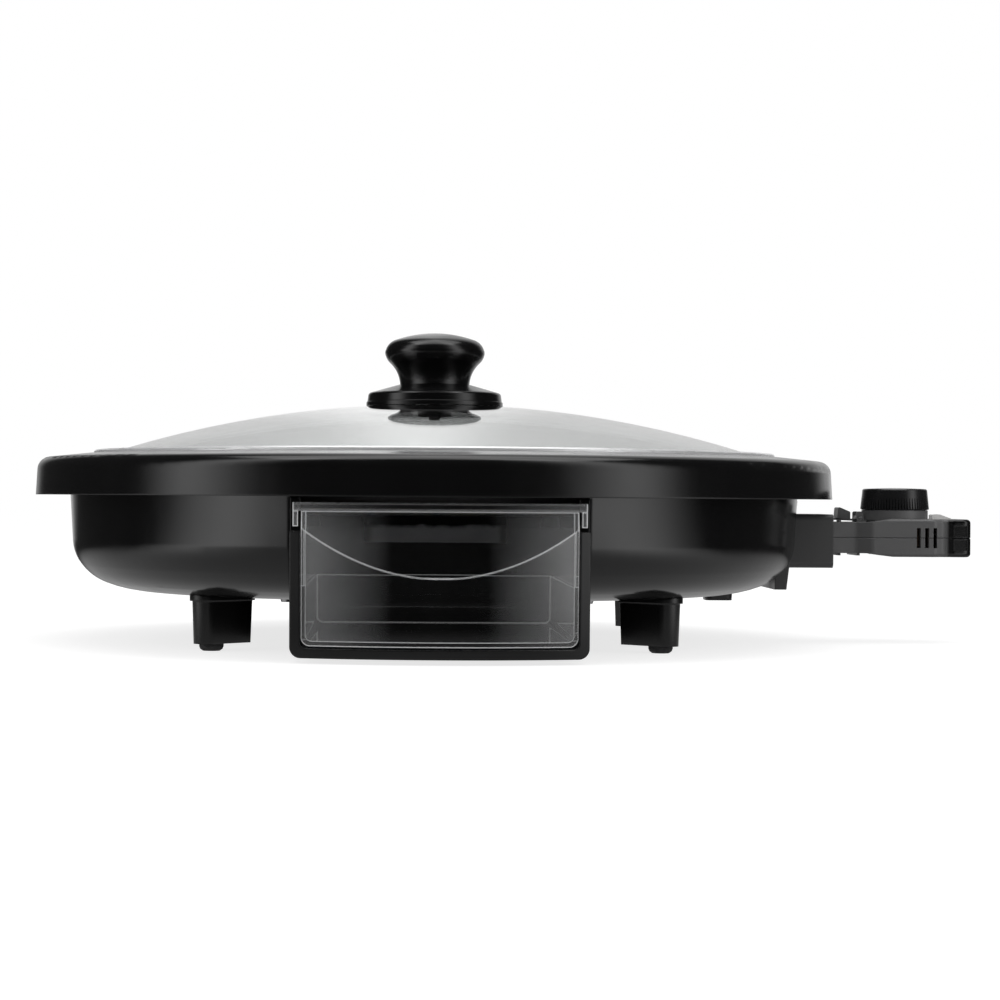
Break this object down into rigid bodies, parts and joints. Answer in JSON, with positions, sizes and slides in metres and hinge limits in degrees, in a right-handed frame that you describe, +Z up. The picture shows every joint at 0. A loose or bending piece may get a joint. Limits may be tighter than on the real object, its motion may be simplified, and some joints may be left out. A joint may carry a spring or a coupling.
{
  "type": "electric table grill",
  "caption": "Round electric table grill: overhanging rim, ribbed plate, lift-off domed glass lid with knob, clear drip tray in a front housing, plug-in thermostat, block feet.",
  "frame": {"origin": "on the table, under the middle of the bounding box", "axes": "+X from the grill towards its thermostat, -Y the front with the drip tray, +Z up"},
  "size_m": [0.4936, 0.42, 0.1633],
  "materials": {
    "shell_plastic": "satin gloss black moulding",
    "rim_plastic": "satin gloss black moulding",
    "housing_plastic": "satin black moulding",
    "foot_plastic": "black moulding",
    "pad_rubber": "dark grey rubber",
    "guard_plastic": "black moulding",
    "plate_coating": "cast aluminium with a black non-stick coating",
    "element_steel": "heat-tinted steel sheath",
    "terminal_steel": "bright nickel-plated pins",
    "bead_ceramic": "white ceramic",
    "clamp_steel": "pressed steel",
    "reflector_aluminium": "rolled sheet",
    "chute_aluminium": "cast collar",
    "screw_steel": "zinc-plated",
    "tray_clear": "clear plastic",
    "lid_clear": "clear tempered glass",
    "band_steel": "bright stainless band",
    "knob_plastic": "satin black moulding",
    "washer_rubber": "silicone rubber",
    "insert_brass": "turned brass",
    "probe_plastic": "black moulding",
    "dial_plastic": "black moulding",
    "lever_plastic": "black moulding",
    "rod_steel": "polished steel tube",
    "block_phenolic": "brown phenolic",
    "lens_clear": "pale translucent plastic",
    "lamp_glass": "small neon lamp",
    "bush_rubber": "black rubber"
  },
  "bodies": {
    "base": {"base_shell": "shell_plastic", "rim_ring": "rim_plastic", "grill_plate": "plate_coating", "heating_element": "element_steel", "element_terminals": "terminal_steel", "terminal_insulators": "bead_ceramic", "element_clamps": "clamp_steel", "clamp_screws": "screw_steel", "heat_reflector": "reflector_aluminium", "drip_chute": "chute_aluminium", "chute_screws": "screw_steel", "plate_screws": "screw_steel", "foot_front_left": "foot_plastic", "foot_front_right": "foot_plastic", "foot_rear_left": "foot_plastic", "foot_rear_right": "foot_plastic", "foot_pad_front_left": "pad_rubber", "foot_pad_front_right": "pad_rubber", "foot_pad_rear_left": "pad_rubber", "foot_pad_rear_right": "pad_rubber", "foot_screws": "screw_steel", "tray_housing": "housing_plastic", "housing_screws": "screw_steel", "socket_guard": "guard_plastic", "guard_screw": "screw_steel"},
    "lid": {"lid_glass": "lid_clear", "lid_band": "band_steel", "knob_plate": "knob_plastic", "lid_knob": "knob_plastic", "knob_insert": "insert_brass", "knob_washer": "washer_rubber", "knob_screw": "screw_steel"},
    "tray": {"drip_tray": "tray_clear"},
    "thermostat": {"probe_housing_lower": "probe_plastic", "probe_housing_upper": "probe_plastic", "probe_screws": "screw_steel", "probe_rod": "rod_steel", "probe_contacts": "insert_brass", "thermostat_block": "block_phenolic", "lever_pin": "screw_steel", "pilot_lens": "lens_clear", "pilot_lamp": "lamp_glass", "cord_bush": "bush_rubber"},
    "dial": {"dial": "dial_plastic", "dial_shaft": "rod_steel"},
    "lever": {"release_lever": "lever_plastic"}
  },
  "joints": [
    {"name": "lid_lift", "type": "slide", "parent": "base", "child": "lid", "axis": [0, 0, 1], "range_m": [0, 0.12]},
    {"name": "tray_slide", "type": "slide", "parent": "base", "child": "tray", "axis": [0, -1, 0], "range_m": [0, 0.2]},
    {"name": "probe_slide", "type": "slide", "parent": "base", "child": "thermostat", "axis": [1, 0, 0], "range_m": [0, 0.13]},
    {"name": "dial_turn", "type": "hinge", "parent": "thermostat", "child": "dial", "pos_m": [0.20995, 0, 0.0766], "axis": [0, 0, 1], "range_deg": [0, 270]},
    {"name": "lever_press", "type": "hinge", "parent": "thermostat", "child": "lever", "pos_m": [0.19035, 0, 0.0663], "axis": [0, -1, 0], "range_deg": [0, 2.4], "stiffness_Nm_per_rad": 0.2, "springref_deg": -2.86}
  ]
}
